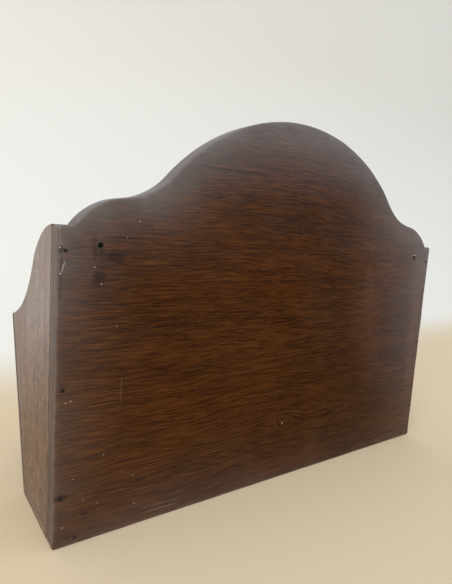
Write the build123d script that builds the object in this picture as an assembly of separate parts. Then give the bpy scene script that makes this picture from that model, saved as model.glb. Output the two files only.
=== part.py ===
from build123d import *
import math
import os

# A letter holder of thin oak boards: a tall shaped back, two ogee ends, a base, a leaning front
# and one divider, put together with glue and headed pins. Nothing on it moves.
# Frame: origin on the floor in the middle of the outline, +X to the right seen from the front,
# the front at -Y, the back at +Y, +Z up. Millimetres and degrees.
# A depth is measured forward from the rear face of the back board.

# Outside of the box
outer_width = 340.0
floor_depth = 68.5
front_lean = 19.5
front_height = 116.5

# Board thicknesses
back_thick = 12.7
end_thick = 8.0
base_thick = 8.0
front_thick = 5.5
divider_thick = 5.0

# Shaped top of the back board
ledge_height = 183.0
crown_height = 263.0
crown_radius = 137.5
hollow_radius = 49.5
shoulder_radius = 39.5
shoulder_end_slope = 55.5

# Ogee top of the end boards
ogee_start_depth = 10.5
ogee_round_radius = 49.0
ogee_hollow_radius = 76.0

# Divider and its stopped housings
divider_foot_depth = 40.0
divider_lean = 10.0
divider_height = 128.0
housing_depth = 2.5
base_groove_depth = 2.5
housing_slip = 0.15

# Worn corners
arris = 1.0
front_lip_round = 1.5
base_nose_round = 3.0

# Two holes for hanging the holder on a wall
hanging_hole_radius = 1.5
hanging_hole_inset = 23.0
hanging_hole_drop = 10.0

# Pins: cut brads with a square head and a square shank that tapers to its tip
pin_head_width = 1.8
pin_head_thick = 0.7
pin_shank_width = 1.2
pin_tip_width = 0.5
pin_sink = 0.25
pin_clearance = 0.05
back_pin_length = 32.0
front_pin_length = 22.0
base_pin_length = 24.0

# Where the pins stand
back_pin_foot_height = 30.0
back_pin_top_drop = 13.5
back_pin_middle_lower = 6.5
base_row_inset = 12.5
base_row_count = 2
front_pin_margin = 16.0
front_pin_count = 3
under_pin_margin = 13.0
under_pin_count = 2

# Worked out from the sizes above
lean_sin = math.sin(math.radians(front_lean))
lean_cos = math.cos(math.radians(front_lean))
lean_tan = lean_sin / lean_cos
half_width = outer_width / 2
inner_half_width = half_width - end_thick
front_top_depth = floor_depth + front_height * lean_tan
overall_depth = front_top_depth - front_lip_round * (lean_cos + lean_sin - 1)
rear_y = overall_depth / 2


def unit(vector):
    length = math.hypot(vector[0], vector[1])
    return (vector[0] / length, vector[1] / length)


def along(start, direction, distance):
    return (start[0] + direction[0] * distance, start[1] + direction[1] * distance)


def front_face_depth(height):
    return floor_depth + height * lean_tan


def circle_touching_both(centre_a, radius_a, centre_b, radius_b, radius):
    """Centre of a circle that touches circles a and b from outside, left of the way from a to b."""
    apart = math.dist(centre_a, centre_b)
    reach_a = radius_a + radius
    reach_b = radius_b + radius
    foot = (reach_a ** 2 - reach_b ** 2 + apart ** 2) / (2 * apart)
    rise = math.sqrt(reach_a ** 2 - foot ** 2)
    way = unit((centre_b[0] - centre_a[0], centre_b[1] - centre_a[1]))
    return along(along(centre_a, way, foot), (-way[1], way[0]), rise)


def touch_point(centre, radius, other_centre):
    way = unit((other_centre[0] - centre[0], other_centre[1] - centre[1]))
    return along(centre, way, radius)


def short_arc(centre, radius, start, end):
    """Arc of under a half circle about a centre."""
    middle = ((start[0] + end[0]) / 2, (start[1] + end[1]) / 2)
    return ThreePointArc(start, touch_point(centre, radius, middle), end)


def upright_plane(depth):
    """Sketch plane facing the front: x runs to the right, y runs up."""
    return Plane(origin=(0, rear_y - depth, 0), x_dir=(1, 0, 0), z_dir=(0, -1, 0))


def end_plane(x):
    """Sketch plane seen from the right end: x is the depth, y runs up. Extrudes towards -X."""
    return Plane(origin=(x, rear_y, 0), x_dir=(0, -1, 0), z_dir=(-1, 0, 0))


def slab_across(outline, half_length):
    """Board with the same outline in depth and height all along X."""
    return extrude(end_plane(0) * make_face(outline), amount=half_length, both=True)


# Outline of the back board's top, from the middle to one side:
# crown, hollow, shoulder and a flat ledge as wide as the end board is thick
crown_top = (0, crown_height)
crown_centre = (0, crown_height - crown_radius)
ledge_start = (inner_half_width, ledge_height)
slope = math.radians(shoulder_end_slope)
shoulder_centre = along(ledge_start, (-math.sin(slope), -math.cos(slope)), shoulder_radius)
hollow_centre = circle_touching_both(
    crown_centre, crown_radius, shoulder_centre, shoulder_radius, hollow_radius
)
crown_end = touch_point(crown_centre, crown_radius, hollow_centre)
shoulder_start = touch_point(shoulder_centre, shoulder_radius, hollow_centre)


def back_outline_half():
    return [
        Line((0, 0), (half_width, 0)),
        Line((half_width, 0), (half_width, ledge_height)),
        Line((half_width, ledge_height), ledge_start),
        short_arc(shoulder_centre, shoulder_radius, ledge_start, shoulder_start),
        short_arc(hollow_centre, hollow_radius, shoulder_start, crown_end),
        short_arc(crown_centre, crown_radius, crown_end, crown_top),
    ]


# Outline of an end board: ogee top that runs out square to the leaning front
front_corner = (front_top_depth, front_height)
front_inner_corner = along(front_corner, (-lean_cos, lean_sin), front_thick)
ogee_round_centre = (ogee_start_depth, ledge_height - ogee_round_radius)
ogee_reach = ogee_round_radius + ogee_hollow_radius
hollow_offset = along(front_corner, (lean_sin, lean_cos), ogee_hollow_radius)
to_offset = (hollow_offset[0] - ogee_round_centre[0], hollow_offset[1] - ogee_round_centre[1])
to_offset_along = to_offset[0] * lean_cos - to_offset[1] * lean_sin
to_offset_square = to_offset[0] ** 2 + to_offset[1] ** 2 - ogee_reach ** 2
ogee_run_out = to_offset_along - math.sqrt(to_offset_along ** 2 - to_offset_square)
ogee_hollow_centre = along(hollow_offset, (-lean_cos, lean_sin), ogee_run_out)
ogee_run_out_start = along(front_corner, (-lean_cos, lean_sin), ogee_run_out)
ogee_turn = touch_point(ogee_round_centre, ogee_round_radius, ogee_hollow_centre)
ogee_back_rise = math.sqrt(ogee_round_radius ** 2 - (back_thick - ogee_start_depth) ** 2)
ogee_back_corner = (back_thick, ogee_round_centre[1] + ogee_back_rise)


def end_outline():
    front_foot = (front_face_depth(base_thick) - front_thick / lean_cos, base_thick)
    back_foot = (back_thick, base_thick)
    return [
        Line(back_foot, front_foot),
        Line(front_foot, front_inner_corner),
        Line(front_inner_corner, ogee_run_out_start),
        short_arc(ogee_hollow_centre, ogee_hollow_radius, ogee_run_out_start, ogee_turn),
        short_arc(ogee_round_centre, ogee_round_radius, ogee_turn, ogee_back_corner),
        Line(ogee_back_corner, back_foot),
    ]


def divider_outline(slip=0.0):
    """Outline of the divider from the side, grown by a slip all round but at its foot."""
    lean = math.radians(divider_lean)
    up = (math.sin(lean), math.cos(lean))
    forward = (math.cos(lean), -math.sin(lean))
    half = divider_thick / 2 + slip
    foot_height = base_thick - base_groove_depth
    foot = (divider_foot_depth - base_groove_depth * math.tan(lean), foot_height)
    rise = (divider_height - foot_height) / math.cos(lean) + slip
    top = along(foot, up, rise)
    foot_half = half / math.cos(lean)
    rear_foot = (foot[0] - foot_half, foot_height)
    front_foot = (foot[0] + foot_half, foot_height)
    corners = [rear_foot, front_foot, along(top, forward, half), along(top, forward, -half)]
    return Polyline(*corners, close=True)


# Pins. Each is made with its head's top on the origin and its shank running down -Z.
def square_at(width, height):
    return Pos(0, 0, height) * Rectangle(width, width)


def pin_shank(length, slip=0.0):
    neck = square_at(pin_shank_width + 2 * slip, -pin_head_thick)
    tip = square_at(pin_tip_width + 2 * slip, -length - slip)
    return loft([neck, tip], ruled=True)


def pin(length):
    head = extrude(square_at(pin_head_width, -pin_head_thick), amount=pin_head_thick)
    return head + pin_shank(length)


def pin_hole(length):
    """What is cut for a pin: an open recess for its sunk head and a hole for its shank."""
    recess = square_at(pin_head_width + 2 * pin_clearance, -pin_head_thick)
    recess = extrude(recess, amount=pin_head_thick + 2 * pin_sink)
    return recess + pin_shank(length, pin_clearance)


def evenly(first, last, count):
    return [first + (last - first) * step / (count - 1) for step in range(count)]


def facing(point, outward):
    """Place where a pin goes in: its head lies sunk below the surface at this point."""
    sunk = Vector(*point) - Vector(*outward).normalized() * pin_sink
    return Plane(origin=sunk, x_dir=(1, 0, 0), z_dir=outward).location


def back_pin_places():
    post_x = half_width - end_thick / 2
    top = ledge_height - back_pin_top_drop
    middle = (top + back_pin_foot_height) / 2 - back_pin_middle_lower
    row_x = half_width - base_row_inset
    points = [(x, z) for x in (-post_x, post_x) for z in (back_pin_foot_height, middle, top)]
    points += [(x, base_thick / 2) for x in evenly(-row_x, row_x, base_row_count)]
    return [facing((x, rear_y, z), (0, 1, 0)) for x, z in points]


def front_pin_places():
    post_x = half_width - end_thick / 2
    heights = evenly(base_thick + front_pin_margin, front_height - front_pin_margin, front_pin_count)
    outward = (0, -lean_cos, -lean_sin)
    return [
        facing((x, rear_y - front_face_depth(z), z), outward)
        for x in (-post_x, post_x)
        for z in heights
    ]


def under_pin_places():
    post_x = half_width - end_thick / 2
    first = back_thick + under_pin_margin
    last = front_face_depth(0) - under_pin_margin
    depths = evenly(first, last, under_pin_count)
    return [facing((x, rear_y - depth, 0), (0, 0, -1)) for x in (-post_x, post_x) for depth in depths]


def pin_holes():
    holes = [place * pin_hole(back_pin_length) for place in back_pin_places()]
    holes += [place * pin_hole(front_pin_length) for place in front_pin_places()]
    holes += [place * pin_hole(base_pin_length) for place in under_pin_places()]
    return holes


def drilled(board):
    """The board less the pin holes that reach it."""
    box = board.bounding_box()
    reaching = [hole for hole in pin_holes() if hole.bounding_box().overlaps(box)]
    return board - reaching if reaching else board


# Boards
def make_back_board():
    half = back_outline_half()
    outline = half + [mirror(piece, about=Plane.YZ) for piece in half]
    board = extrude(upright_plane(back_thick) * make_face(outline), amount=-back_thick)
    faces = board.faces().sort_by(Axis.Y)
    board = fillet(faces[0].outer_wire().edges() + faces[-1].outer_wire().edges(), arris)
    hole_x = half_width - hanging_hole_inset
    hole_height = ledge_height - hanging_hole_drop
    for x in (-hole_x, hole_x):
        hole = Cylinder(hanging_hole_radius, 3 * back_thick, rotation=(90, 0, 0))
        board -= Pos(x, rear_y - back_thick / 2, hole_height) * hole
    return drilled(board)


def make_end_board(side):
    """End board; side is +1 for the right end and -1 for the left."""
    outer_x = side * half_width
    board = extrude(end_plane(outer_x) * make_face(end_outline()), amount=side * end_thick)
    shaped = [edge for edge in board.edges() if on_ogee(edge)]
    board = fillet(shaped, arris)
    housing = slab_across(divider_outline(housing_slip), inner_half_width + housing_depth)
    return drilled(board - housing)


def on_ogee(edge):
    """True for the long edges of the ogee top, on either face of an end board."""
    middle = edge @ 0.5
    depth = rear_y - middle.Y
    across = abs((edge % 0.5).X) > 0.5
    front_line = front_face_depth(middle.Z) - front_thick / lean_cos
    off_front = depth < front_line - arris
    return not across and depth > back_thick + arris and off_front and middle.Z > base_thick + arris


def make_base_board():
    top_front = (front_face_depth(base_thick), base_thick)
    corners = [(back_thick, 0), (floor_depth, 0), top_front, (back_thick, base_thick)]
    board = slab_across(Polyline(*corners, close=True), half_width)
    nose = board.edges().filter_by(Axis.X).group_by(Axis.Z)[0].sort_by(Axis.Y)[0]
    board = fillet(nose, base_nose_round)
    return drilled(board - slab_across(divider_outline(housing_slip), inner_half_width + housing_depth))


def make_front_board():
    outer_foot = (front_face_depth(base_thick), base_thick)
    inner_foot = (outer_foot[0] - front_thick / lean_cos, base_thick)
    corners = [inner_foot, outer_foot, front_corner, front_inner_corner]
    board = slab_across(Polyline(*corners, close=True), half_width)
    long_edges = board.edges().filter_by(Axis.X).sort_by(Axis.Z)
    lip = long_edges[-2:].sort_by(Axis.Y)
    board = fillet(lip[0], front_lip_round)
    inner_lip = board.edges().filter_by(Axis.X).sort_by(Axis.Z)[-1]
    return drilled(fillet(inner_lip, arris))


def make_divider():
    half_length = inner_half_width + housing_depth - housing_slip
    board = slab_across(divider_outline(), half_length)
    top_edges = board.edges().filter_by(Axis.X).sort_by(Axis.Z)[-2:]
    return fillet(top_edges, arris)


def pin_group(places, length):
    return Compound(children=[place * pin(length) for place in places])


pieces = {
    "back_board": make_back_board(),
    "right_end": make_end_board(1),
    "left_end": make_end_board(-1),
    "base_board": make_base_board(),
    "front_board": make_front_board(),
    "divider": make_divider(),
    "back_pins": pin_group(back_pin_places(), back_pin_length),
    "front_pins": pin_group(front_pin_places(), front_pin_length),
    "base_pins": pin_group(under_pin_places(), base_pin_length),
}

for name, piece in pieces.items():
    export_step(piece, f"parts/{name}.step")
    box = piece.bounding_box()
    print(name, len(piece.solids()), "solids", round(piece.volume), "mm3", box.min, box.max)
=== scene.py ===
import math
import random
import bpy
import bmesh
from mathutils import Matrix, Vector, noise
from mathutils.geometry import delaunay_2d_cdt
from mathutils.kdtree import KDTree


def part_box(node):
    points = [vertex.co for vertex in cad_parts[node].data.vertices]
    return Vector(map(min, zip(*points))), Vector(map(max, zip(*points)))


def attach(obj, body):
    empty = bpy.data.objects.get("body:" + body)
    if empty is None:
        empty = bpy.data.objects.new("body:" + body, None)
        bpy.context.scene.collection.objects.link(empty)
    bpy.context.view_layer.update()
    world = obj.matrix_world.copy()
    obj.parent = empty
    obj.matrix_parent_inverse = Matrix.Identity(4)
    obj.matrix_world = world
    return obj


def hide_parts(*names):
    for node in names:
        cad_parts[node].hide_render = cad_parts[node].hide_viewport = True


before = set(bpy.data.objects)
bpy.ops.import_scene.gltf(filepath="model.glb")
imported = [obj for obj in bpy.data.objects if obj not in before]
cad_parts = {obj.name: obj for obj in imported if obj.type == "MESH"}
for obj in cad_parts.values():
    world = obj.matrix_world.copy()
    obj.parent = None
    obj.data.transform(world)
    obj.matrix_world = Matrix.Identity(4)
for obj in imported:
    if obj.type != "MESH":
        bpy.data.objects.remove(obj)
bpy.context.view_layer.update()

# An old oak letter holder: tall shaped back, two ogee ends, base, leaning front and one divider.
# The camera, the room and all objects are in metres, in the frame of the loaded model.
# The sizes and outlines of boards and pins, and the marks on them, are in millimetres.
mm = 0.001
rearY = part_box("back_board")[1].y  # rear face of the back board; depths are measured forward from it


def addObject(name, data):
    made = bpy.data.objects.new(name, data)
    bpy.context.collection.objects.link(made)
    return made


# Camera

cameraView = {
    "place": (0.24078, 0.30417, 0.18465),
    "forward": (-0.58004, -0.80475, -0.12622),
    "up": (-0.01979, -0.14099, 0.98981),
    "lens": 28.98,
}


def setCamera(view):
    forward, up = Vector(view["forward"]).normalized(), Vector(view["up"])
    right = forward.cross(up).normalized()
    up = right.cross(forward)
    data = bpy.data.cameras.new("holderCamera")
    data.lens = view["lens"]
    data.clip_start, data.clip_end = 0.01, 50
    camera = addObject("holderCamera", data)
    turn = Matrix((right, up, -forward)).transposed()
    camera.matrix_world = Matrix.Translation(view["place"]) @ turn.to_4x4()
    bpy.context.scene.camera = camera


# Floor, sweep and light

studio = {
    "floorColour": (0.60, 0.475, 0.31), "wallColour": (0.74, 0.70, 0.625),
    "wallFade": (-0.16, -0.42), "farFade": (0.7, 2.6),  # floor into wall, along Y and by distance
    "sweepStart": -0.45, "sweepRadius": 1.1, "sweepHeight": 2.6, "sweepSteps": 24,
    "floorDrop": 0.0002, "halfWidth": 14.0, "floorNear": 0.6, "floorEnd": 14.0,
    "floorRough": 0.9, "floorGloss": 0.2,
    # the room that the boards mirror: bright above, dim behind the camera, a paler side at each hand
    "skyTop": (1.12, 1.22, 1.36), "skyFront": (1.05, 1.04, 1.01), "skyLow": (0.36, 0.30, 0.22),
    "skyDim": (0.012, 0.011, 0.010), "skySeen": (0.81, 0.825, 0.83),
    "leftHand": (0.66, 0.64, 0.61), "leftFoot": (0.58, 0.47, 0.34),
    "rightHand": (1.12, 1.17, 1.24), "rightFoot": (0.44, 0.38, 0.28),
    # where each light comes in: turns about the holder in degrees, then heights and depth of the way
    "leftTurn": (26, 12), "rightTurn": (52, 60),
    "handRise": (-0.38, -0.06), "lowRise": (-0.44, -0.56), "frontRise": (-0.10, -0.42),
    "topRise": (0.075, 0.195), "frontReach": (0.1, -0.35),
    "lamps": [
        # name, place, aim, width, height, watts, colour
        ("leftWindow", (1.55, 1.15, 1.15), (0.1, 0.0, 0.1), 1.3, 1.1, 24.0, (1.0, 0.97, 0.93)),
    ],
}


def node(tree, kind, inputs=None, **settings):
    made = tree.nodes.new(kind)
    for key, value in settings.items():
        setattr(made, key, value)
    for socket, value in (inputs or {}).items():
        if isinstance(value, bpy.types.NodeSocket):
            tree.links.new(value, made.inputs[socket])
        else:
            made.inputs[socket].default_value = value
    return made


# The tree that the first socket among some values is in
def treeOf(*values):
    return next(value.id_data for value in values if isinstance(value, bpy.types.NodeSocket))


def calc(operation, *values):
    made = node(treeOf(*values), "ShaderNodeMath", dict(enumerate(values)), operation=operation)
    return made.outputs[0]


def times(first, second):
    return calc("MULTIPLY", first, second)


def spread(value, low, high, toLow=0.0, toHigh=1.0):
    inputs = {"Value": value, "From Min": low, "From Max": high, "To Min": toLow, "To Max": toHigh}
    made = node(treeOf(value), "ShaderNodeMapRange", inputs, interpolation_type="SMOOTHSTEP")
    return made.outputs["Result"]


def blendColour(share, first, second, mode="MIX"):
    tree = treeOf(share)
    made = node(tree, "ShaderNodeMix", data_type="RGBA", blend_type=mode)
    for socket, value in (("Factor_Float", share), ("A_Color", first), ("B_Color", second)):
        place = next(s for s in made.inputs if s.identifier == socket)
        if isinstance(value, bpy.types.NodeSocket):
            tree.links.new(value, place)
        else:
            place.default_value = value if socket == "Factor_Float" else (*value[:3], 1.0)
    return next(s for s in made.outputs if s.identifier == "Result_Color")


def joinNumbers(x, y, z):
    return node(treeOf(x, y, z), "ShaderNodeCombineXYZ", {0: x, 1: y, 2: z}).outputs[0]


def cloudy(vector, detail, rough=0.55):
    inputs = {"Vector": vector, "Scale": 1.0, "Detail": detail, "Roughness": rough}
    return node(treeOf(vector), "ShaderNodeTexNoise", inputs).outputs[0]


def tones(value, stops):
    made = node(treeOf(value), "ShaderNodeValToRGB", {"Fac": value})
    ramp = made.color_ramp
    while len(ramp.elements) < len(stops):
        ramp.elements.new(0.5)
    for element, (position, colour) in zip(ramp.elements, stops):
        element.position = position
        element.color = (*colour, 1.0)
    return made.outputs[0]


def setRoom(look):
    world = bpy.data.worlds.new("paleRoom")
    bpy.context.scene.world = world
    world.use_nodes = True
    tree = world.node_tree
    tree.nodes.clear()
    way = node(tree, "ShaderNodeTexCoord").outputs["Generated"]
    x, y, rise = node(tree, "ShaderNodeSeparateXYZ", {0: way}).outputs
    around = calc("ARCTAN2", times(x, -1.0), y)
    light = look["skyDim"]
    for hand in ("left", "right"):
        share = spread(around, *(math.radians(turn) for turn in look[hand + "Turn"]))
        side = spread(rise, *look["handRise"])
        side = blendColour(side, look[hand + "Foot"], look[hand + "Hand"])
        light = blendColour(share, light, side)
    light = blendColour(spread(rise, *look["lowRise"]), light, look["skyLow"])
    front = blendColour(spread(rise, *look["frontRise"]), look["skyFront"], look["skyLow"])
    light = blendColour(spread(y, *look["frontReach"]), light, front)
    light = blendColour(spread(rise, *look["topRise"]), light, look["skyTop"])
    seen = node(tree, "ShaderNodeLightPath").outputs["Is Camera Ray"]
    colour = blendColour(seen, light, look["skySeen"])
    sky = node(tree, "ShaderNodeBackground", {"Color": colour, "Strength": 1.0})
    tree.links.new(sky.outputs[0], node(tree, "ShaderNodeOutputWorld").inputs[0])


# A floor that sweeps up into a plain backdrop well behind the holder
def layFloor(look):
    profile = [(look["floorEnd"], 0.0), (look["floorNear"], 0.0), (look["sweepStart"], 0.0)]
    radius, start, steps = look["sweepRadius"], look["sweepStart"], look["sweepSteps"]
    for step in range(1, steps + 1):
        angle = math.radians(90 * step / steps)
        profile.append((start - radius * math.sin(angle), radius * (1 - math.cos(angle))))
    profile.append((start - radius, look["sweepHeight"]))
    half = look["halfWidth"]
    points = [(x, y, z - look["floorDrop"]) for y, z in profile for x in (-half, half)]
    faces = [(2 * i, 2 * i + 1, 2 * i + 3, 2 * i + 2) for i in range(len(profile) - 1)]
    mesh = bpy.data.meshes.new("paleFloor")
    mesh.from_pydata(points, [], faces)
    mesh.polygons.foreach_set("use_smooth", [True] * len(faces))
    floor = addObject("paleFloor", mesh)
    paint = bpy.data.materials.new("paleFloorPaint")
    paint.use_nodes = True
    tree = paint.node_tree
    here = node(tree, "ShaderNodeTexCoord").outputs["Object"]
    depth = node(tree, "ShaderNodeSeparateXYZ", {0: here}).outputs[1]
    away = node(tree, "ShaderNodeVectorMath", {0: here}, operation="LENGTH").outputs["Value"]
    share = spread(depth, *look["wallFade"])
    share = calc("MAXIMUM", share, spread(away, *look["farFade"]))
    colour = blendColour(share, look["floorColour"], look["wallColour"])
    shader = tree.nodes["Principled BSDF"]
    tree.links.new(colour, shader.inputs["Base Color"])
    shader.inputs["Roughness"].default_value = look["floorRough"]
    shader.inputs["Specular IOR Level"].default_value = look["floorGloss"]
    mesh.materials.append(paint)
    floor.visible_glossy = False  # the boards mirror the room instead


def setLamps(look):
    for name, place, aim, width, height, watts, colour in look["lamps"]:
        data = bpy.data.lights.new(name, "AREA")
        data.shape, data.size, data.size_y = "RECTANGLE", width, height
        data.energy, data.color = watts, colour
        lamp = addObject(name, data)
        lamp.location = place
        lamp.rotation_euler = (Vector(aim) - Vector(place)).to_track_quat("-Z", "Y").to_euler()
        lamp.visible_camera = False


setCamera(cameraView)
setRoom(studio)
layFloor(studio)
setLamps(studio)
bpy.context.scene.view_settings.view_transform = "Standard"
print("studio set:", len(studio["lamps"]), "soft lamps")


# Outlines, in millimetres

def vec(x, y):
    return Vector((x, y))


def circleTouchingBoth(centreA, radiusA, centreB, radiusB, radius):
    apart = (centreB - centreA).length
    reachA, reachB = radiusA + radius, radiusB + radius
    foot = (reachA ** 2 - reachB ** 2 + apart ** 2) / (2 * apart)
    way = (centreB - centreA) / apart
    return centreA + way * foot + vec(-way.y, way.x) * math.sqrt(reachA ** 2 - foot ** 2)


def arcPoints(centre, start, end, step):
    radius = (start - centre).length
    first = math.atan2(start.y - centre.y, start.x - centre.x)
    last = math.atan2(end.y - centre.y, end.x - centre.x)
    turn = (last - first + math.pi) % (2 * math.pi) - math.pi
    count = max(2, math.ceil(abs(turn) * radius / step))
    angles = [first + turn * i / count for i in range(count + 1)]
    return [(centre + radius * vec(math.cos(a), math.sin(a)), 0.0) for a in angles]


# Closed outline from (point, corner radius) pairs: corners are rounded and long runs divided
def roundedOutline(path, step):
    rounded = []
    for i, (point, radius) in enumerate(path):
        if radius == 0.0:
            rounded.append((point, 0.0))
            continue
        before = (path[i - 1][0] - point).normalized()
        after = (path[(i + 1) % len(path)][0] - point).normalized()
        half = before.angle(after) / 2
        reach = radius / math.tan(half)
        centre = point + (before + after).normalized() * radius / math.sin(half)
        arc = arcPoints(centre, point + before * reach, point + after * reach, radius * 0.36)
        rounded += [(p, radius) for p, zero in arc]
    outline = []
    for i, (point, corner) in enumerate(rounded):
        end, endCorner = rounded[(i + 1) % len(rounded)]
        if (end - point).length < 1e-6:
            continue
        count = max(1, math.ceil((end - point).length / step))
        for k in range(count):
            share = corner if k == 0 else 0.0
            outline.append((point.lerp(end, k / count), share))
    return outline


def outwardWays(outline):
    ways = []
    for i in range(len(outline)):
        before = outline[i][0] - outline[i - 1][0]
        after = outline[(i + 1) % len(outline)][0] - outline[i][0]
        a, b = vec(before.y, -before.x).normalized(), vec(after.y, -after.x).normalized()
        whole = (a + b).normalized()
        ways.append(whole / max(0.6, whole.dot(a)))
    return ways


# Boards, each built from its outline in section or in plan, with worn, uneven arrises

arris = {
    "steps": 5, "lead": 0.3,  # rings round the edge, and how far in the first ring on the face lies
    "leadShare": 0.80, "insetShare": 0.70,  # the most that they take of a corner's radius
    "wearByRing": (0.5, 0.8, 1.0, 1.0, 0.9, 0.7, 0.5), "cornerWear": 0.6, "sharpFrom": 38,
    "least": 0.12, "room": 2.5,  # smallest radius, and the length of a board that its two arrises take
    "mean": 0.78, "swing": 0.5, "swingSize": 16, "dentFrom": 0.42, "dentSize": 7,  # uneven radius
}
faceNet = {
    "rows": (1.6, 3.6, 6.4), "jitter": 0.15, "clear": 8.0,  # rows along the edge, then a loose grid
    "hollowFrom": 6, "wearReach": 0.9, "greyReach": 15,  # how far in from the edge: the hollow, the rubbed wear and the painted reflection
}


def wander(point, size, seed):
    return noise.noise(Vector(point) / size + Vector((seed * 7.3, seed * 3.1, -seed * 5.7)))


# The triangles inside the closed chain that the first points make
def insideTriangles(triangles, count):
    chain = {frozenset((i, (i + 1) % count)) for i in range(count)}
    sides = [[frozenset((t[k], t[k - 1])) for k in range(3)] for t in triangles]
    across = {}
    for index, edges in enumerate(sides):
        for edge in edges:
            across.setdefault(edge, []).append(index)
    outside = {sharers[0] for edge, sharers in across.items() if len(sharers) == 1 and edge not in chain}
    waiting = list(outside)
    while waiting:
        for edge in sides[waiting.pop()]:
            if edge not in chain:
                fresh = [index for index in across[edge] if index not in outside]
                outside.update(fresh)
                waiting += fresh
    return [t for index, t in enumerate(triangles) if index not in outside]


# Closed board: the outline runs from depth 0 to length, and both faces are finely divided
def shapeBoard(name, outline, length, place, wear, material):
    ways = outwardWays(outline)
    seed = wear["seed"]
    rings = []

    def arrisAt(i, side):
        point = outline[i][0]
        base = wear["arris"](point, side)
        swing = wander((point.x, point.y, side * 31), arris["swingSize"], seed)
        dent = wander((point.x, point.y, side * 17), arris["dentSize"], seed + 4) - arris["dentFrom"]
        rough = arris["mean"] + arris["swing"] * swing
        return max(arris["least"], base * rough * (1 + max(0.0, dent) * wear["dents"]))

    def wobble(point, depth):
        loose = 0.5 + 0.5 * wander((point.x, point.y, depth), wear["wobbleSize"], seed + 1)
        return wear["wobble"](point) * max(0.0, min(1.0, loose))

    for side in (0, 1):
        face = []
        for k in range(-1, arris["steps"] + 1):
            ring = []
            angle = math.radians(90 * max(0, k) / arris["steps"])
            for i, (point, corner) in enumerate(outline):
                radius = arrisAt(i, side)
                inset = radius * (1 - math.sin(angle)) + (arris["lead"] if k < 0 else 0.0)
                if corner:
                    inset = min(inset, corner * arris["leadShare" if k < 0 else "insetShare"])
                sunk = radius * (1 - math.cos(angle))
                depth = sunk if side == 0 else length - sunk
                spot = point - ways[i] * (inset + wobble(point, depth))
                ring.append((spot, depth, arris["wearByRing"][k + 1]))
            face.append(ring)
        rings.append(face)
    middle = []
    count = max(1, round((length - arris["room"]) / wear["ringStep"]))
    for k in range(1, count):
        ring = []
        for i, (point, corner) in enumerate(outline):
            near, far = arrisAt(i, 0), length - arrisAt(i, 1)
            depth = near + (far - near) * k / count
            amount = wear["edgeWear"] + arris["cornerWear"] * bool(corner)
            ring.append((point - ways[i] * wobble(point, depth), depth, amount))
        middle.append(ring)
    ordered = rings[0] + middle + rings[1][::-1]

    model = bmesh.new()
    worn = []
    nearEdge = []
    loops = []
    for ring in ordered:
        loop = []
        for spot, depth, amount in ring:
            loop.append(model.verts.new(place(spot.x, spot.y, depth)))
            worn.append(amount)
            nearEdge.append(1.0)
        loops.append(loop)
    for near, far in zip(loops, loops[1:]):
        for i in range(len(near)):
            j = (i + 1) % len(near)
            model.faces.new((near[i], near[j], far[j], far[i]))

    for side, loop, ring in ((0, loops[0], ordered[0]), (1, loops[-1], ordered[-1])):
        edge = [spot for spot, depth, amount in ring]
        tree = KDTree(len(edge))
        for i, spot in enumerate(edge):
            tree.insert((spot.x, spot.y, 0), i)
        tree.balance()
        dice = random.Random(seed * 10 + side)
        inside = []
        for inset in faceNet["rows"]:
            if inset * 2.2 < wear["narrow"]:
                inside += [p - w * inset for p, w in zip(edge, ways)][:: 1 if inset < 3 else 2]
        low = vec(min(p.x for p in edge), min(p.y for p in edge))
        high = vec(max(p.x for p in edge), max(p.y for p in edge))
        grid, loose = wear["gridStep"], faceNet["jitter"]
        for row in range(int((high.y - low.y) / grid) + 1):
            for column in range(int((high.x - low.x) / grid) + 1):
                x = low.x + (column + 0.5 * (row % 2) + dice.uniform(-loose, loose)) * grid
                y = low.y + (row + 0.5 + dice.uniform(-loose, loose)) * grid
                if tree.find((x, y, 0))[2] > max(grid * 0.6, min(faceNet["clear"], wear["narrow"] / 2.5)):
                    inside.append(vec(x, y))
        count = len(edge)
        net = delaunay_2d_cdt(edge + inside, [], [list(range(count))], 0, 1e-5, True)
        names = [min(source) for source in net[3]]
        triangles = [[names[i] for i in triangle] for triangle in net[2]]
        verts = {}
        for triangle in insideTriangles(triangles, count):
            corners = []
            for i in triangle:
                if i < count:
                    corners.append(loop[i])
                    continue
                if i not in verts:
                    point = inside[i - count]
                    away = tree.find((point.x, point.y, 0))[2]
                    sink = wear["hollow"](point) * min(1.0, away / faceNet["hollowFrom"])
                    verts[i] = model.verts.new(place(point.x, point.y, sink if side == 0 else length - sink))
                    worn.append(0.7 * math.exp(-away / faceNet["wearReach"]))
                    nearEdge.append(math.exp(-away / faceNet["greyReach"]))
                corners.append(verts[i])
            model.faces.new(corners)
    for key, amounts in (("wear", worn), ("nearEdge", nearEdge)):
        layer = model.verts.layers.float.new(key)
        for vert, amount in zip(model.verts, amounts):
            vert[layer] = min(1.0, amount)
    bmesh.ops.recalc_face_normals(model, faces=model.faces)
    mesh = bpy.data.meshes.new(name)
    model.to_mesh(mesh)
    model.free()
    mesh.materials.append(material)
    return addObject(name, mesh)


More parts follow.
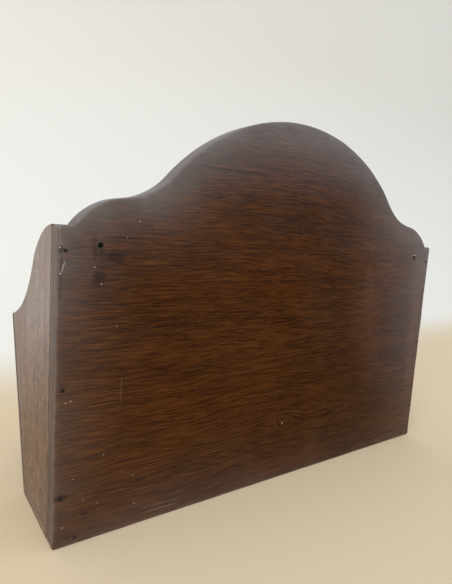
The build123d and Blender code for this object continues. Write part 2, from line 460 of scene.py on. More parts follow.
# Cuts closed shapes out of a board, and carries its wear over to the new mesh
def cutAway(board, cutters):
    before = board.data
    tree = KDTree(len(before.vertices))
    for vertex in before.vertices:
        tree.insert(vertex.co, vertex.index)
    tree.balance()
    worn = {key: [item.value for item in before.attributes[key].data] for key in ("wear", "nearEdge")}
    for cutter in cutters:
        # the cut faces take the near-black painted shade
        cutter.data.materials.append(cutsPaintedShade)
        cut = board.modifiers.new("cut", "BOOLEAN")
        cut.operation, cut.solver, cut.material_mode = "DIFFERENCE", "EXACT", "TRANSFER"
        cut.object = cutter
    graph = bpy.context.evaluated_depsgraph_get()
    mesh = bpy.data.meshes.new_from_object(board.evaluated_get(graph))
    board.modifiers.clear()
    near = [tree.find(vertex.co)[1] for vertex in mesh.vertices]
    for key, amounts in worn.items():
        if key in mesh.attributes:
            mesh.attributes.remove(mesh.attributes[key])
        made = mesh.attributes.new(key, "FLOAT", "POINT")
        made.data.foreach_set("value", [amounts[index] for index in near])
    board.data = mesh
    for cutter in cutters:
        bpy.data.objects.remove(cutter)
    return board


# Closed turned shape: its profile is (radius, height) along the outward way, from the foot up
def turnedCutter(profile, middle, outward, sides=32):
    turn = Vector(outward).to_track_quat("Z", "Y").to_matrix()
    points, faces = [], []
    for radius, height in profile:
        for k in range(sides):
            angle = 2 * math.pi * k / sides
            spoke = Vector((radius * math.cos(angle), radius * math.sin(angle), height))
            points.append(Vector(middle) + turn @ spoke)
    for low in range(0, (len(profile) - 1) * sides, sides):
        high = low + sides
        for k in range(sides):
            j = (k + 1) % sides
            faces.append((low + k, low + j, high + j, high + k))
    faces.append(tuple(range(sides))[::-1])
    faces.append(tuple(range(len(points) - sides, len(points))))
    mesh = bpy.data.meshes.new("cutter")
    mesh.from_pydata(points, [], faces)
    return addObject("cutter", mesh)


def finishBoard(board, nodeName):
    mesh = board.data
    mesh.polygons.foreach_set("use_smooth", [True] * len(mesh.polygons))
    mesh.set_sharp_from_angle(angle=math.radians(arris["sharpFrom"]))
    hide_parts(nodeName)
    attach(board, "root")
    print(board.name, "made:", len(mesh.polygons), "faces")


# Old varnished oak. Each pattern is solid and has its length along the fibre and its width across it,
# both in mm, then its detail and roughness.

oakPatterns = {
    "slow": (190, 110, 2.0, 0.55), "quick": (34, 15, 2.0, 0.55),  # the grain's sway and ripple
    "zone": (150, 38, 2.0, 0.55), "streak": (110, 5.5, 2.0, 0.5),
    "fine": (34, 1.25, 2.5, 0.6), "fibre": (15, 0.66, 1.0, 0.5),
    "dash": (15, 0.80, 1.0, 0.5), "pore": (7, 0.50, 1.0, 0.5), "dots": (1.6, 0.9, 2.0, 0.55),
    # the second pattern on the next line breaks the painted reflection near the edges into patches
    "ragged": (7, 3.0, 4.0, 0.7), "sheenPatches": (45, 30, 3.0, 0.6),
    "patchy": (16, 5.5, 4.0, 0.65), "smudge": (70, 50, 4.0, 0.6),
}


def blankMaterial(name):
    material = bpy.data.materials.new(name)
    material.use_nodes = True
    material.node_tree.nodes.clear()
    return material, material.node_tree


def shade(tree, colour, rough, height, strength, deepest):
    bump = node(tree, "ShaderNodeBump", {"Strength": strength, "Distance": deepest, "Height": height})
    inputs = {"Base Color": colour, "Roughness": rough, "Normal": bump.outputs[0]}
    shader = node(tree, "ShaderNodeBsdfPrincipled", inputs)
    tree.links.new(shader.outputs[0], node(tree, "ShaderNodeOutputMaterial").inputs[0])
    return shader


# Bends the across-grain number so that the grain flows round a knot
def aroundKnot(along, across, knot):
    dx = calc("DIVIDE", calc("SUBTRACT", along, knot["along"] * mm), knot["stretch"])
    dy = calc("SUBTRACT", across, knot["across"] * mm)
    square = calc("ADD", times(dx, dx), times(dy, dy))
    size = (knot["radius"] * mm) ** 2
    push = calc("DIVIDE", size, calc("ADD", square, size * 0.35))
    return calc("SUBTRACT", across, times(dy, push))


# Soft-edged marks: each is (along, across, half length, half width, strength), some with a turn in degrees
def marks(along, across, spots, ragged):
    total = None
    for alongAt, acrossAt, halfLength, halfWidth, strength, *turn in spots:
        dx = calc("SUBTRACT", along, alongAt * mm)
        dy = calc("SUBTRACT", across, acrossAt * mm)
        angle = math.radians(sum(turn))
        c, s = math.cos(angle), math.sin(angle)
        reach, width = halfLength * mm, halfWidth * mm
        u = calc("MULTIPLY_ADD", dx, c / reach, times(dy, s / reach))
        v = calc("MULTIPLY_ADD", dy, c / width, times(dx, -s / width))
        away = calc("ADD", times(u, u), times(v, v))
        away = calc("ADD", away, ragged)
        mark = times(spread(away, 1.5, 0.25), strength)
        total = mark if total is None else calc("MAXIMUM", total, mark)
    return total


# The fibres run along the first of the look's axes, and the last goes through the board's thickness
def oak(name, look):
    material, tree = blankMaterial(name)
    here = node(tree, "ShaderNodeTexCoord").outputs["Object"]
    turned = node(tree, "ShaderNodeMapping", {"Vector": here, "Rotation": look["turn"]}).outputs[0]
    split = node(tree, "ShaderNodeSeparateXYZ", {0: turned})
    along, across, deep = (split.outputs["xyz".index(axis)] for axis in look["axes"])

    def pattern(kind, over=None, run=1.0, slip=0.0):
        length, width, detail, rough = oakPatterns[kind]
        u = calc("MULTIPLY_ADD", along, 1 / (length * run * mm), look["seed"] + slip)
        v = times(grain if over is None else over, 1 / (width * mm))
        w = times(deep, 1 / (width * mm))
        return cloudy(joinNumbers(u, v, w), detail, rough)

    grain = across
    for kind, reach in (("slow", look["sway"]), ("quick", look["ripple"])):
        shift = calc("SUBTRACT", pattern(kind, over=across), 0.5)
        grain = calc("MULTIPLY_ADD", shift, reach * mm, grain)
    for knot in look["knots"]:
        grain = aroundKnot(along, grain, knot)

    up = node(tree, "ShaderNodeSeparateXYZ", {0: here}).outputs[2]
    zone = pattern("zone")
    streak = pattern("streak")
    fine = pattern("fine", run=look["run"])
    fibre = pattern("fibre", run=look["run"], slip=3.0)
    dash = pattern("dash", run=look["run"], slip=5.0)
    pore = pattern("pore", run=look["run"], slip=9.0)
    ragged = calc("SUBTRACT", pattern("ragged", over=across), 0.5)
    ragged = times(ragged, 3.2)

    value = times(streak, look["streaky"])
    for amount, share in ((fine, look["fineShare"]), (fibre, 1 - look["fineShare"])):
        value = calc("MULTIPLY_ADD", amount, (1 - look["streaky"]) * share, value)
    colour = tones(value, look["tones"])
    cast = times(spread(zone, 0.40, 0.62), look["cast"])
    colour = blendColour(cast, colour, look["castColour"], "MULTIPLY")
    # open pores, fewer along some streaks and near the foot
    shut = spread(streak, 0.32, 0.62, 1.0, 0.45)
    shut = times(shut, spread(up, 0.02, 0.16, look["calmFoot"], 1.0))
    dashMask = times(spread(dash, 0.54, 0.62), shut)
    poreMask = times(spread(pore, 0.54, 0.64), shut)
    colour = blendColour(times(dashMask, look["dash"]), colour, look["poreColour"])
    colour = blendColour(times(poreMask, look["pore"]), colour, look["poreColour"])

    normal = node(tree, "ShaderNodeNewGeometry").outputs["Normal"]

    def facing(letter, low, high):
        axis = tuple(1.0 if letter == other else 0.0 for other in "xyz")
        share = node(tree, "ShaderNodeVectorMath", {0: normal, 1: axis}, operation="DOT_PRODUCT")
        return spread(calc("ABSOLUTE", share.outputs["Value"]), low, high)

    def painted(key):
        return node(tree, "ShaderNodeAttribute", attribute_name=key, attribute_type="GEOMETRY").outputs["Fac"]

    endOn = facing(look["axes"][0], 0.55, 0.9)  # sawn ends of the fibres
    edgeOn = facing(look["axes"][2], 0.85, 0.4)  # the board's own edges

    # painted reflection: a grey sheen near the edges, stronger higher up and weaker on the boards' own edges,
    # stands in for the room mirrored in the varnish
    sheenShare = spread(up, 0.12, 0.19, look["paintedSheenLow"], look["paintedSheenHigh"])
    sheenShare = times(sheenShare, calc("MULTIPLY_ADD", edgeOn, -0.75, 1.0))
    sheenShare = times(sheenShare, spread(pattern("sheenPatches", over=across), 0.3, 0.7, 0.7, 1.2))
    colour = blendColour(times(painted("nearEdge"), sheenShare), colour, look["paintedSheenColour"])

    rearFace = spread(deep, rearY - 0.005, rearY - 0.002)
    for tint in look["tints"]:
        share = marks(along, across, tint["spots"], times(ragged, tint["ragged"]))
        share = times(share, rearFace)
        colour = blendColour(share, colour, tint["colour"], tint["mode"])

    # sawn ends are greyer, with pores as dots
    dots = spread(pattern("dots", over=across), 0.45, 0.62)
    layers = [times(amount, scale) for amount, scale in ((deep, 900), (across, 16))]
    layers = joinNumbers(*layers, look["seed"])
    rays = spread(cloudy(layers, 2.0), 0.38, 0.62)
    endColour = blendColour(times(rays, 0.6), look["endColour"], look["poreColour"])
    endColour = blendColour(times(dots, 0.5), endColour, look["poreColour"])
    colour = blendColour(endOn, colour, endColour)

    # rubbed arrises
    patchy = pattern("patchy", over=across)
    rubbed = times(painted("wear"), spread(patchy, 0.38, 0.62, 0.15, 1.0))
    colour = blendColour(times(rubbed, look["rub"]), colour, look["rubColour"])

    smudge = pattern("smudge", over=across)
    rough = spread(smudge, 0.3, 0.7, look["rough"][0], look["rough"][1])
    for amount, more in ((endOn, 0.10), (edgeOn, 0.26), (rubbed, 0.08)):
        rough = calc("MULTIPLY_ADD", amount, more, rough)

    height = times(dashMask, -0.3)
    endDots = times(dots, endOn)
    for amount, more in ((poreMask, -0.2), (fine, 0.6), (fibre, 0.5), (endDots, -0.6)):
        height = calc("MULTIPLY_ADD", amount, more, height)
    shader = shade(tree, colour, rough, height, look["bump"], 0.00025)
    shader.inputs["Specular IOR Level"].default_value = look["gloss"]
    return material


def grit(tree, scale, detail, rough=0.55):
    here = node(tree, "ShaderNodeTexCoord").outputs["Object"]
    sized = node(tree, "ShaderNodeMapping", {"Vector": here, "Scale": (scale, scale, scale)}).outputs[0]
    return cloudy(sized, detail, rough)


# Painted shade: near-black oak for the inside of cuts, where little light gets in
def paintedShadeOak():
    material, tree = blankMaterial("cutOakPaintedShade")
    torn = grit(tree, 700, 4.0, 0.6)
    colour = tones(torn, [(0.35, (0.006, 0.004, 0.003)), (0.65, (0.028, 0.016, 0.010))])
    shade(tree, colour, spread(torn, 0.3, 0.7, 0.75, 0.95), torn, 0.5, 0.0002)
    return material


cutsPaintedShade = paintedShadeOak()  # painted shade: the inside of holes, recesses and housings is near-black


# Back board: tall shaped board, its face turned to the wall when the holder hangs

backBoard = {
    "halfWidth": 170.0, "thick": 12.7, "ledgeWidth": 8.0, "ledgeHeight": 183.0,
    "crownHeight": 263.0, "crownRadius": 137.5, "hollowRadius": 49.5,
    "shoulderRadius": 39.5, "shoulderEndSlope": 55.5,
    "cornerRadius": 2.2, "footRadius": 1.6, "arcStep": 2.0, "step": 2.2,
    "holeInset": 23.0, "holeDrop": 10.0, "holeRadius": 1.5, "holeRim": 0.3,
    "wear": {
        "seed": 3, "arris": lambda p, side: 1.0 if p.y > 2 else 0.8, "dents": 2.6,
        "wobble": lambda p: 0.0 if p.y < 2 else 0.22, "wobbleSize": 26, "edgeWear": 0.35,
        "ringStep": 2.2, "gridStep": 4.5, "narrow": 60.0,
        "hollow": lambda p: 0.05 + 0.10 * (0.5 + 0.5 * wander((p.x, p.y, 4), 34, 9)),
    },
}

backOakLook = {
    "seed": 2.7, "axes": "xzy", "turn": (0, 0, 0), "sway": 10.0, "ripple": 0.9,
    "knots": [{"along": 2.2, "across": 44.6, "radius": 6.0, "stretch": 2.6}],
    "streaky": 0.16, "fineShare": 0.22, "run": 1.0,
    "tones": [
        (0.36, (0.034, 0.0103, 0.0021)), (0.47, (0.056, 0.0178, 0.0036)),
        (0.53, (0.069, 0.0227, 0.0047)), (0.64, (0.099, 0.0340, 0.0079)),
    ],
    "cast": 0.35, "castColour": (0.75, 0.66, 0.62),
    "poreColour": (0.020, 0.0075, 0.0030), "dash": 0.62, "pore": 0.86, "calmFoot": 0.55,
    # painted reflection: colour of the grey sheen near the edges, and its strength low and high up
    "paintedSheenColour": (0.18, 0.18, 0.18), "paintedSheenLow": 0.12, "paintedSheenHigh": 0.50,
    "tints": [
        {  # partly painted shade, partly darker wood: a broad darker band across the grain, where the varnish mirrors a dim part of the room
            "colour": (0.72, 0.74, 0.78), "mode": "MULTIPLY", "ragged": 0.3,
            "spots": [
                (-47, 160, 14, 60, 0.6), (-54, 80, 22, 60, 0.65), (20, 200, 60, 16, 0.5),
                (-18, 90, 34, 75, 0.40), (30, 34, 70, 22, 0.45), (-88, 36, 52, 48, 0.75),
                (-128, 84, 26, 70, 0.6),
            ],
        },
        {  # partly painted reflection, partly a paler streak in the wood: paler slanted patches and a pale strip by the end, where the varnish mirrors the room
            "colour": (0.17, 0.070, 0.040), "mode": "MIX", "ragged": 0.25,
            "spots": [
                (-90, 132, 8, 38, 0.13, -10), (-94, 105, 15, 70, 0.06, -8),
                (-165, 92, 14, 80, 0.16, -4),
            ],
        },
        {  # blue-black iron stains and damp marks
            "colour": (0.014, 0.008, 0.006), "mode": "MIX", "ragged": 1.0,
            "spots": [
                (150.1, 171, 1.7, 7.0, 0.42), (145.6, 168.3, 2.4, 2.6, 0.5),
                (138.2, 166.6, 6.0, 3.4, 0.72), (147.2, 155.5, 4.0, 5.6, 0.62, 20),
                (169.0, 170.0, 1.8, 1.8, 0.8), (166.1, 93.2, 1.6, 1.2, 0.7),
                (165.3, 30.2, 3.6, 2.3, 0.75), (151.9, 16.9, 2.6, 1.0, 0.85),
                (168.4, 155, 1.2, 15, 0.42), (132.0, 177.6, 12, 0.5, 0.7),
                (96.0, 177.7, 6.5, 0.5, 0.6), (120, 166.8, 9, 0.5, 0.6), (115, 161.5, 6, 0.7, 0.5),
                (52.0, 224.2, 30, 0.6, 0.5, -1), (-10, 225.4, 14, 0.6, 0.5),
                (70.6, 177.9, 0.8, 0.8, 0.6), (4.6, 44.8, 1.2, 1.0, 0.8),
                (-146.6, 170.4, 2.4, 2.0, 0.5),
            ],
        },
        {  # specks and scratches through the varnish, and two painted glints
            "colour": (0.46, 0.38, 0.31), "mode": "MIX", "ragged": 0.5,
            "spots": [
                (167.3, 160.3, 0.25, 3.6, 0.65, 18), (168.5, 157.3, 0.4, 0.5, 0.8),
                (150.1, 160.9, 0.4, 0.4, 0.8), (146.0, 151.7, 0.4, 0.4, 0.85),
                (124.4, 187.4, 0.4, 0.4, 0.7), (131.7, 178.0, 0.4, 0.3, 0.5),
                (136.1, 127.4, 0.3, 1.3, 0.25), (161.4, 86.6, 0.7, 0.3, 0.5),
                (164.1, 85.9, 0.8, 0.3, 0.4), (158.3, 4.3, 0.5, 0.5, 0.8),
                (164.6, 12.1, 0.7, 0.4, 0.4), (141.3, 51.0, 0.35, 0.35, 0.7),
                (159.1, 40.2, 0.35, 0.35, 0.5), (122.2, 33.5, 0.9, 0.25, 0.35),
                (120.6, 14.3, 0.9, 0.5, 0.22), (144.6, 21.5, 0.4, 0.4, 0.35),
                (152.7, 25.6, 0.4, 0.4, 0.35), (103.5, 5.5, 13, 0.25, 0.22, 1),
                (99.0, 8.5, 11, 0.22, 0.2, 1), (0.2, 43.4, 0.6, 1.1, 0.5, -20),
                # painted highlights: the pale flecks at (-146.8, 175.0) on the hanging hole's rim and at
                # (169.0, 171.0) on the dark pin mark are glints
                (131.9, 89, 0.2, 9, 0.12), (-146.8, 175.0, 1.8, 0.5, 0.9),
                (169.0, 171.0, 0.5, 0.4, 0.9),
            ],
        },
    ],
    "endColour": (0.13, 0.084, 0.055), "rub": 0.30, "rubColour": (0.19, 0.15, 0.12),
    "rough": (0.15, 0.22), "bump": 0.15, "gloss": 0.5,
}


def backOutline(cut):
    slope = math.radians(cut["shoulderEndSlope"])
    ledge = vec(cut["halfWidth"] - cut["ledgeWidth"], cut["ledgeHeight"])
    shoulder = ledge - vec(math.sin(slope), math.cos(slope)) * cut["shoulderRadius"]
    crown = vec(0, cut["crownHeight"] - cut["crownRadius"])
    hollow = circleTouchingBoth(
        crown, cut["crownRadius"], shoulder, cut["shoulderRadius"], cut["hollowRadius"])
    crownEnd = crown + (hollow - crown).normalized() * cut["crownRadius"]
    shoulderStart = shoulder + (hollow - shoulder).normalized() * cut["shoulderRadius"]
    half = [(vec(cut["halfWidth"], 0), cut["footRadius"])]
    half += [(vec(cut["halfWidth"], cut["ledgeHeight"]), cut["cornerRadius"])]
    half += arcPoints(shoulder, ledge, shoulderStart, cut["arcStep"])
    half += arcPoints(hollow, shoulderStart, crownEnd, cut["arcStep"])[1:]
    half += arcPoints(crown, crownEnd, vec(0, cut["crownHeight"]), cut["arcStep"])[1:]
    mirrored = [(vec(-p.x, p.y), radius) for p, radius in reversed(half[:-1])]
    return roundedOutline(half + mirrored, cut["step"])


def makeBackBoard(cut, look):
    place = lambda u, v, w: (u * mm, rearY - w * mm, v * mm)
    varnished = oak("darkVarnishedOak", look)
    board = shapeBoard("backBoard", backOutline(cut), cut["thick"], place, cut["wear"], varnished)
    cutters = []
    x = cut["halfWidth"] - cut["holeInset"]
    z = cut["ledgeHeight"] - cut["holeDrop"]
    r, rim, half = cut["holeRadius"] * mm, cut["holeRim"] * mm, cut["thick"] / 2 * mm
    past = 0.0004  # the cutter runs this far out of the board
    wide = r + rim + past
    profile = [(wide, -half - past), (r, -half + rim), (r, half - rim), (wide, half + past)]
    for side in (-1, 1):
        cutters.append(turnedCutter(profile, (side * x * mm, rearY - half, z * mm), (0, 1, 0)))
    cutters += [pinRecess(place, outward) for place, outward in backPinPlaces()]
    cutAway(board, cutters)
    finishBoard(board, "back_board")


# Pins: cut brads with square heads, a hair below the surface

pins = {
    "headWidth": 1.8, "headThick": 0.7, "shankWidth": 1.2, "tipWidth": 0.5, "sink": 0.25,
    "twist": 1.5, "seed": 11, "backLength": 32.0, "frontLength": 22.0, "baseLength": 24.0,
    "recessGap": 0.1, "recessDepth": 1.3, "recessRise": 0.5, "recessTaper": (0.94, 1.04),
    # places: from the middle along X, then up, or for the base pins forward from the rear face
    "endX": 166.0, "backHeights": (30.0, 93.25, 169.5), "footX": 157.5, "footHeight": 4.0,
    "frontHeights": (24.0, 62.25, 100.5), "baseDepths": (25.7, 55.5),
}


def pinRecess(place, outward):
    half = (pins["headWidth"] / 2 + pins["recessGap"]) * mm * math.sqrt(2)
    low, high = pins["recessTaper"]
    profile = [(half * low, -pins["recessDepth"] * mm), (half * high, pins["recessRise"] * mm)]
    cutter = turnedCutter(profile, place, outward, 4)
    middle, turn = Vector(place), Matrix.Rotation(math.radians(45), 3, Vector(outward))
    for vertex in cutter.data.vertices:
        vertex.co = middle + turn @ (vertex.co - middle)
    return cutter


def backPinPlaces():
    spots = [(side * pins["endX"], z) for side in (-1, 1) for z in pins["backHeights"]]
    spots += [(side * pins["footX"], pins["footHeight"]) for side in (-1, 1)]
    return [((x * mm, rearY, z * mm), (0, 1, 0)) for x, z in spots]


lean = math.radians(19.5)  # of the front board


def frontDepth(z):
    return baseBoard["frontDepth"] + z * math.tan(lean)


def frontPinPlaces():
    outward = (0, -math.cos(lean), -math.sin(lean))
    return [((side * pins["endX"] * mm, rearY - frontDepth(z) * mm, z * mm), outward)
            for side in (-1, 1) for z in pins["frontHeights"]]


def basePinPlaces():
    return [((side * pins["endX"] * mm, rearY - depth * mm, 0.0), (0, 0, -1))
            for side in (-1, 1) for depth in pins["baseDepths"]]


# Geometry nodes that set one brad on each point, its head facing along the point's outward way
def pinTree():
    tree = bpy.data.node_groups.new("bradsOnPoints", "GeometryNodeTree")
    tree.is_modifier = True
    face = tree.interface
    face.new_socket("Geometry", in_out="INPUT", socket_type="NodeSocketGeometry")
    face.new_socket("Geometry", in_out="OUTPUT", socket_type="NodeSocketGeometry")
    for name in ("Head Width", "Head Thickness", "Shank Width", "Tip Width", "Length", "Sink", "Twist"):
        face.new_socket(name, in_out="INPUT", socket_type="NodeSocketFloat")
    face.new_socket("Seed", in_out="INPUT", socket_type="NodeSocketInt")
    face.new_socket("Material", in_out="INPUT", socket_type="NodeSocketMaterial")
    given = node(tree, "NodeGroupInput").outputs

    def up(z):
        return joinNumbers(0.0, 0.0, z)

    def moved(geometry, z, **more):
        inputs = {"Geometry": geometry, "Translation": up(z), **more}
        return node(tree, "GeometryNodeTransform", inputs).outputs[0]

    size = joinNumbers(given["Head Width"], given["Head Width"], given["Head Thickness"])
    inputs = {"Size": size, "Vertices X": 5, "Vertices Y": 5, "Vertices Z": 3}
    head = node(tree, "GeometryNodeMeshCube", inputs).outputs["Mesh"]
    # hammered head: worn corners and a slightly domed, uneven top
    place = node(tree, "GeometryNodeInputPosition").outputs[0]
    parts = node(tree, "ShaderNodeSeparateXYZ", {0: place})
    far = node(tree, "ShaderNodeVectorMath", {0: place, 1: (1, 1, 0)}, operation="MULTIPLY").outputs[0]
    far = node(tree, "ShaderNodeVectorMath", {0: far}, operation="LENGTH").outputs["Value"]
    drop = calc("POWER", calc("DIVIDE", far, given["Head Width"]), 3.0)
    drop = times(drop, -0.0006)
    lumps = node(tree, "ShaderNodeTexNoise", {"Vector": place, "Scale": 900.0, "Detail": 2.0}).outputs[0]
    lumps = times(calc("SUBTRACT", lumps, 0.75), 0.00012)
    top = calc("GREATER_THAN", parts.outputs[2], 0.0)
    shift = up(times(calc("ADD", drop, lumps), top))
    head = node(tree, "GeometryNodeSetPosition", {"Geometry": head, "Offset": shift}).outputs[0]
    head = moved(head, times(given["Head Thickness"], -0.5))

    shank = node(tree, "GeometryNodeMeshCone", {
        "Vertices": 4, "Side Segments": 6,
        "Radius Top": times(given["Shank Width"], math.sqrt(0.5)),
        "Radius Bottom": times(given["Tip Width"], math.sqrt(0.5)),
        "Depth": calc("SUBTRACT", given["Length"], given["Head Thickness"]),
    }).outputs["Mesh"]
    quarter = (0, 0, math.radians(45))
    shank = moved(shank, times(given["Length"], -1.0), Rotation=quarter)
    brad = node(tree, "GeometryNodeJoinGeometry")
    tree.links.new(head, brad.inputs[0])
    tree.links.new(shank, brad.inputs[0])
    brad = moved(brad.outputs[0], times(given["Sink"], -1.0))

    outward = node(tree, "GeometryNodeInputNamedAttribute", {"Name": "outward"}, data_type="FLOAT_VECTOR")
    aim = node(tree, "FunctionNodeAlignRotationToVector", {"Vector": outward.outputs[0]}, axis="Z").outputs[0]
    least = times(given["Twist"], -1.0)
    inputs = {"Min": least, "Max": given["Twist"], "Seed": given["Seed"]}
    twist = node(tree, "FunctionNodeRandomValue", inputs, data_type="FLOAT")
    twist = next(s for s in twist.outputs if s.enabled)
    inputs = {"Rotation": aim, "Rotate By": up(twist)}
    spin = node(tree, "FunctionNodeRotateRotation", inputs, rotation_space="LOCAL").outputs[0]
    inputs = {"Points": given["Geometry"], "Instance": brad, "Rotation": spin}
    laid = node(tree, "GeometryNodeInstanceOnPoints", inputs).outputs[0]
    real = node(tree, "GeometryNodeRealizeInstances", {"Geometry": laid}).outputs[0]
    inputs = {"Geometry": real, "Material": given["Material"]}
    painted = node(tree, "GeometryNodeSetMaterial", inputs).outputs[0]
    tree.links.new(painted, node(tree, "NodeGroupOutput").inputs[0])
    return tree


def darkIron():
    material, tree = blankMaterial("darkenedIron")
    patches = grit(tree, 900, 4.0, 0.6)
    pits = grit(tree, 3200, 2.0)
    stops = [(0.35, (0.012, 0.011, 0.011)), (0.55, (0.035, 0.028, 0.024)), (0.68, (0.095, 0.045, 0.022))]
    colour = tones(patches, stops)
    rough = spread(patches, 0.3, 0.7, 0.45, 0.8)
    height = calc("ADD", patches, times(pits, 0.5))
    shader = shade(tree, colour, rough, height, 0.6, 0.0001)
    shader.inputs["Metallic"].default_value = 0.7
    return material


def setPins(name, places, length, tree, iron, nodeName):
    mesh = bpy.data.meshes.new(name + "Points")
    mesh.from_pydata([place for place, outward in places], [], [])
    way = mesh.attributes.new("outward", "FLOAT_VECTOR", "POINT")
    for item, (place, outward) in zip(way.data, places):
        item.vector = outward
    points = addObject(name + "Points", mesh)
    modifier = points.modifiers.new("brads", "NODES")
    modifier.node_group = tree
    values = {
        "Head Width": pins["headWidth"] * mm, "Head Thickness": pins["headThick"] * mm,
        "Shank Width": pins["shankWidth"] * mm, "Tip Width": pins["tipWidth"] * mm,
        "Length": length * mm, "Sink": pins["sink"] * mm, "Twist": math.radians(pins["twist"]),
        "Seed": pins["seed"], "Material": iron,
    }
    for item in tree.interface.items_tree:
        if item.in_out == "INPUT" and item.name in values:
            modifier[item.identifier] = values[item.name]
    graph = bpy.context.evaluated_depsgraph_get()
    made = bpy.data.meshes.new_from_object(points.evaluated_get(graph))
    made.name = name
    brads = addObject(name, made)
    bpy.data.objects.remove(points)
    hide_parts(nodeName)
    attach(brads, "root")
    print(name, "made:", len(places), "brads")


# End boards: upright grain, ogee top falling to the leaning front

endBoard = {
    "halfWidth": 170.0, "thick": 8.0, "foot": 8.0, "backThick": 12.7, "frontThick": 5.5,
    "frontHeight": 116.5, "startDepth": 10.5, "topHeight": 183.0, "roundRadius": 49.0,
    "hollowRadius": 76.0, "edge": 0.3, "arcStep": 1.6, "step": 2.2, "ogeeMargin": 0.8, "ogeeFrom": 20.0,
    "wear": {
        "seed": 5, "dents": 2.2,
        "arris": lambda p, side: 1.0 if onOgee(p) else 0.22,
        "wobble": lambda p: 0.15 if onOgee(p) else 0.0, "wobbleSize": 22, "edgeWear": 0.35,
        "ringStep": 1.8, "gridStep": 4.5, "narrow": 60.0,
        "hollow": lambda p: 0.03 + 0.07 * (0.5 + 0.5 * wander((p.x, p.y, 14), 30, 12)),
    },
}

endOakLook = dict(
    backOakLook,
    seed=9.4, axes="zyx", sway=8.0, ripple=1.2, knots=[], tints=[],
    tones=[
        (0.32, (0.060, 0.028, 0.012)), (0.46, (0.138, 0.070, 0.034)),
        (0.54, (0.200, 0.105, 0.053)), (0.68, (0.32, 0.19, 0.11)),
    ],
    # a weaker painted reflection on the ends
    run=0.32, dash=0.8, pore=0.95, paintedSheenLow=0.05, paintedSheenHigh=0.2, rough=(0.24, 0.36), bump=0.4,
)


def onOgee(p):
    margin = endBoard["ogeeMargin"]
    frontLine = frontDepth(p.y) - endBoard["frontThick"] / math.cos(lean)
    between = endBoard["backThick"] + margin < p.x < frontLine - margin
    return between and p.y > endBoard["ogeeFrom"]


def endOutline(cut):
    s, c = math.sin(lean), math.cos(lean)
    corner = vec(frontDepth(cut["frontHeight"]), cut["frontHeight"])
    inner = corner + vec(-c, s) * cut["frontThick"]
    roundCentre = vec(cut["startDepth"], cut["topHeight"] - cut["roundRadius"])
    offset = corner + vec(s, c) * cut["hollowRadius"]
    reach = cut["roundRadius"] + cut["hollowRadius"]
    gap = offset - roundCentre
    along = gap.x * c - gap.y * s
    run = along - math.sqrt(along ** 2 - gap.length_squared + reach ** 2)
    hollowCentre = offset + vec(-c, s) * run
    runStart = corner + vec(-c, s) * run
    turn = roundCentre + (hollowCentre - roundCentre).normalized() * cut["roundRadius"]
    rise = math.sqrt(cut["roundRadius"] ** 2 - (cut["backThick"] - cut["startDepth"]) ** 2)
    backTop = vec(cut["backThick"], roundCentre.y + rise)
    frontFoot = vec(frontDepth(cut["foot"]) - cut["frontThick"] / c, cut["foot"])
    path = [(p, cut["edge"]) for p in (vec(cut["backThick"], cut["foot"]), frontFoot, inner)]
    path += arcPoints(hollowCentre, runStart, turn, cut["arcStep"])
    path += arcPoints(roundCentre, turn, backTop, cut["arcStep"])[1:-1] + [(backTop, cut["edge"])]
    return roundedOutline(path, cut["step"])


def makeEndBoard(name, side, cut, material, nodeName):
    place = lambda u, v, w: (side * (cut["halfWidth"] - w) * mm, rearY - u * mm, v * mm)
    board = shapeBoard(name, endOutline(cut), cut["thick"], place, cut["wear"], material)
    housing = shapeCutter(dividerCorners(divider["slip"]), side * divider["housingFrom"], side * housingEnd())
    cutAway(board, [housing])
    finishBoard(board, nodeName)


# Closed prism with a section in depth and height, between two places along X
def shapeCutter(corners, xStart, xEnd):
    count = len(corners)
    points = [(x * mm, rearY - p.x * mm, p.y * mm) for x in (xStart, xEnd) for p in corners]
    faces = [(i, (i + 1) % count, count + (i + 1) % count, count + i) for i in range(count)]
    faces += [tuple(range(count))[::-1], tuple(range(count, 2 * count))]
    mesh = bpy.data.meshes.new("cutter")
    mesh.from_pydata(points, [], faces)
    model = bmesh.new()
    model.from_mesh(mesh)
    bmesh.ops.recalc_face_normals(model, faces=model.faces)
    model.to_mesh(mesh)
    model.free()
    return addObject("cutter", mesh)


# Straight boards: base, leaning front and divider, each a section run along X

straightWear = {
    "dents": 2.0, "arris": lambda p, side: 0.5, "wobble": lambda p: 0.06, "wobbleSize": 30,
    "edgeWear": 0.0, "ringStep": 4.0, "gridStep": 3.0, "narrow": 5.0, "hollow": lambda p: 0.02, "step": 3.6,
}
baseBoard = {
    "thick": 8.0, "backDepth": 12.7, "frontDepth": 68.5, "nose": 3.0, "edge": 0.3, "halfLength": 170.0,
}
frontBoard = {"thick": 5.5, "height": 116.5, "lip": 1.5, "edge": 0.3, "topEdge": 1.0, "halfLength": 170.0}
divider = {
    "thick": 5.0, "footDepth": 40.0, "lean": 10.0, "height": 128.0, "groove": 2.5, "slip": 0.15,
    "edge": 0.2, "topEdge": 1.0, "housingFrom": 150.0, "halfLength": 164.35,
}

baseOakLook = dict(
    backOakLook, seed=14.2, axes="xyz", knots=[], tints=[], endColour=(0.25, 0.16, 0.098), rub=0.2)
frontOakLook = dict(backOakLook, seed=21.8, turn=(-lean, 0, 0), sway=18.0, knots=[], tints=[])
dividerOakLook = dict(
    backOakLook, seed=33.1, turn=(-math.radians(divider["lean"]), 0, 0), sway=16.0, knots=[], tints=[])


# Where the divider's housings in the ends and its groove in the base stop
def housingEnd():
    return endBoard["halfWidth"] - endBoard["thick"] + divider["groove"]


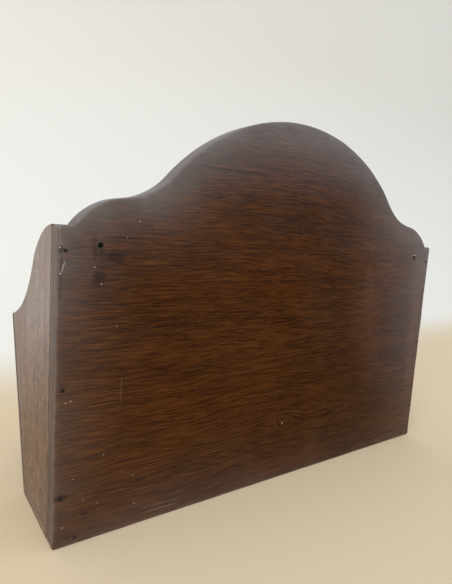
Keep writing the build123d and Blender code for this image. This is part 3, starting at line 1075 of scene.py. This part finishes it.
def dividerCorners(slip=0.0):
    tilt = math.radians(divider["lean"])
    upWay, forwardWay = vec(math.sin(tilt), math.cos(tilt)), vec(math.cos(tilt), -math.sin(tilt))
    half = divider["thick"] / 2 + slip
    footHeight = baseBoard["thick"] - divider["groove"]
    foot = vec(divider["footDepth"] - divider["groove"] * math.tan(tilt), footHeight)
    top = foot + upWay * ((divider["height"] - footHeight) / math.cos(tilt) + slip)
    footHalf = vec(half / math.cos(tilt), 0)
    return [foot - footHalf, foot + footHalf, top + forwardWay * half, top - forwardWay * half]


def runBoard(name, path, halfLength, wear, material):
    place = lambda u, v, w: ((w - halfLength) * mm, rearY - u * mm, v * mm)
    return shapeBoard(name, roundedOutline(path, wear["step"]), 2 * halfLength, place, wear, material)


def makeBaseBoard(cut):
    back, front, top, edge = cut["backDepth"], cut["frontDepth"], cut["thick"], cut["edge"]
    path = [(vec(back, 0), edge), (vec(front, 0), cut["nose"]), (vec(frontDepth(top), top), edge)]
    path.append((vec(back, top), edge))
    wear = dict(straightWear, seed=7, narrow=8.0)
    board = runBoard("baseBoard", path, cut["halfLength"], wear, oak("baseOak", baseOakLook))
    cutters = [pinRecess(place, outward) for place, outward in basePinPlaces()]
    cutters.append(shapeCutter(dividerCorners(divider["slip"]), -housingEnd(), housingEnd()))
    finishBoard(cutAway(board, cutters), "base_board")


def makeFrontBoard(cut):
    c, s = math.cos(lean), math.sin(lean)
    outer = vec(frontDepth(baseBoard["thick"]), baseBoard["thick"])
    corner = vec(frontDepth(cut["height"]), cut["height"])
    path = [(outer - vec(cut["thick"] / c, 0), cut["edge"]), (outer, cut["edge"]), (corner, cut["lip"])]
    path.append((corner + vec(-c, s) * cut["thick"], cut["topEdge"]))
    wear = dict(straightWear, seed=8)
    board = runBoard("frontBoard", path, cut["halfLength"], wear, oak("frontOak", frontOakLook))
    cutters = [pinRecess(place, outward) for place, outward in frontPinPlaces()]
    finishBoard(cutAway(board, cutters), "front_board")


def makeDivider(cut):
    edges = (cut["edge"], cut["edge"], cut["topEdge"], cut["topEdge"])
    path = list(zip(dividerCorners(), edges))
    wear = dict(straightWear, seed=9)
    board = runBoard("pocketDivider", path, cut["halfLength"], wear, oak("dividerOak", dividerOakLook))
    finishBoard(board, "divider")


makeBackBoard(backBoard, backOakLook)
# the end boards' oak has paler tones than the back's
endOak = oak("paleEndOak", endOakLook)
makeEndBoard("rightEnd", 1, endBoard, endOak, "right_end")
makeEndBoard("leftEnd", -1, endBoard, endOak, "left_end")
makeBaseBoard(baseBoard)
makeFrontBoard(frontBoard)
makeDivider(divider)
bradTree, iron = pinTree(), darkIron()
setPins("backPins", backPinPlaces(), pins["backLength"], bradTree, iron, "back_pins")
setPins("frontPins", frontPinPlaces(), pins["frontLength"], bradTree, iron, "front_pins")
setPins("basePins", basePinPlaces(), pins["baseLength"], bradTree, iron, "base_pins")
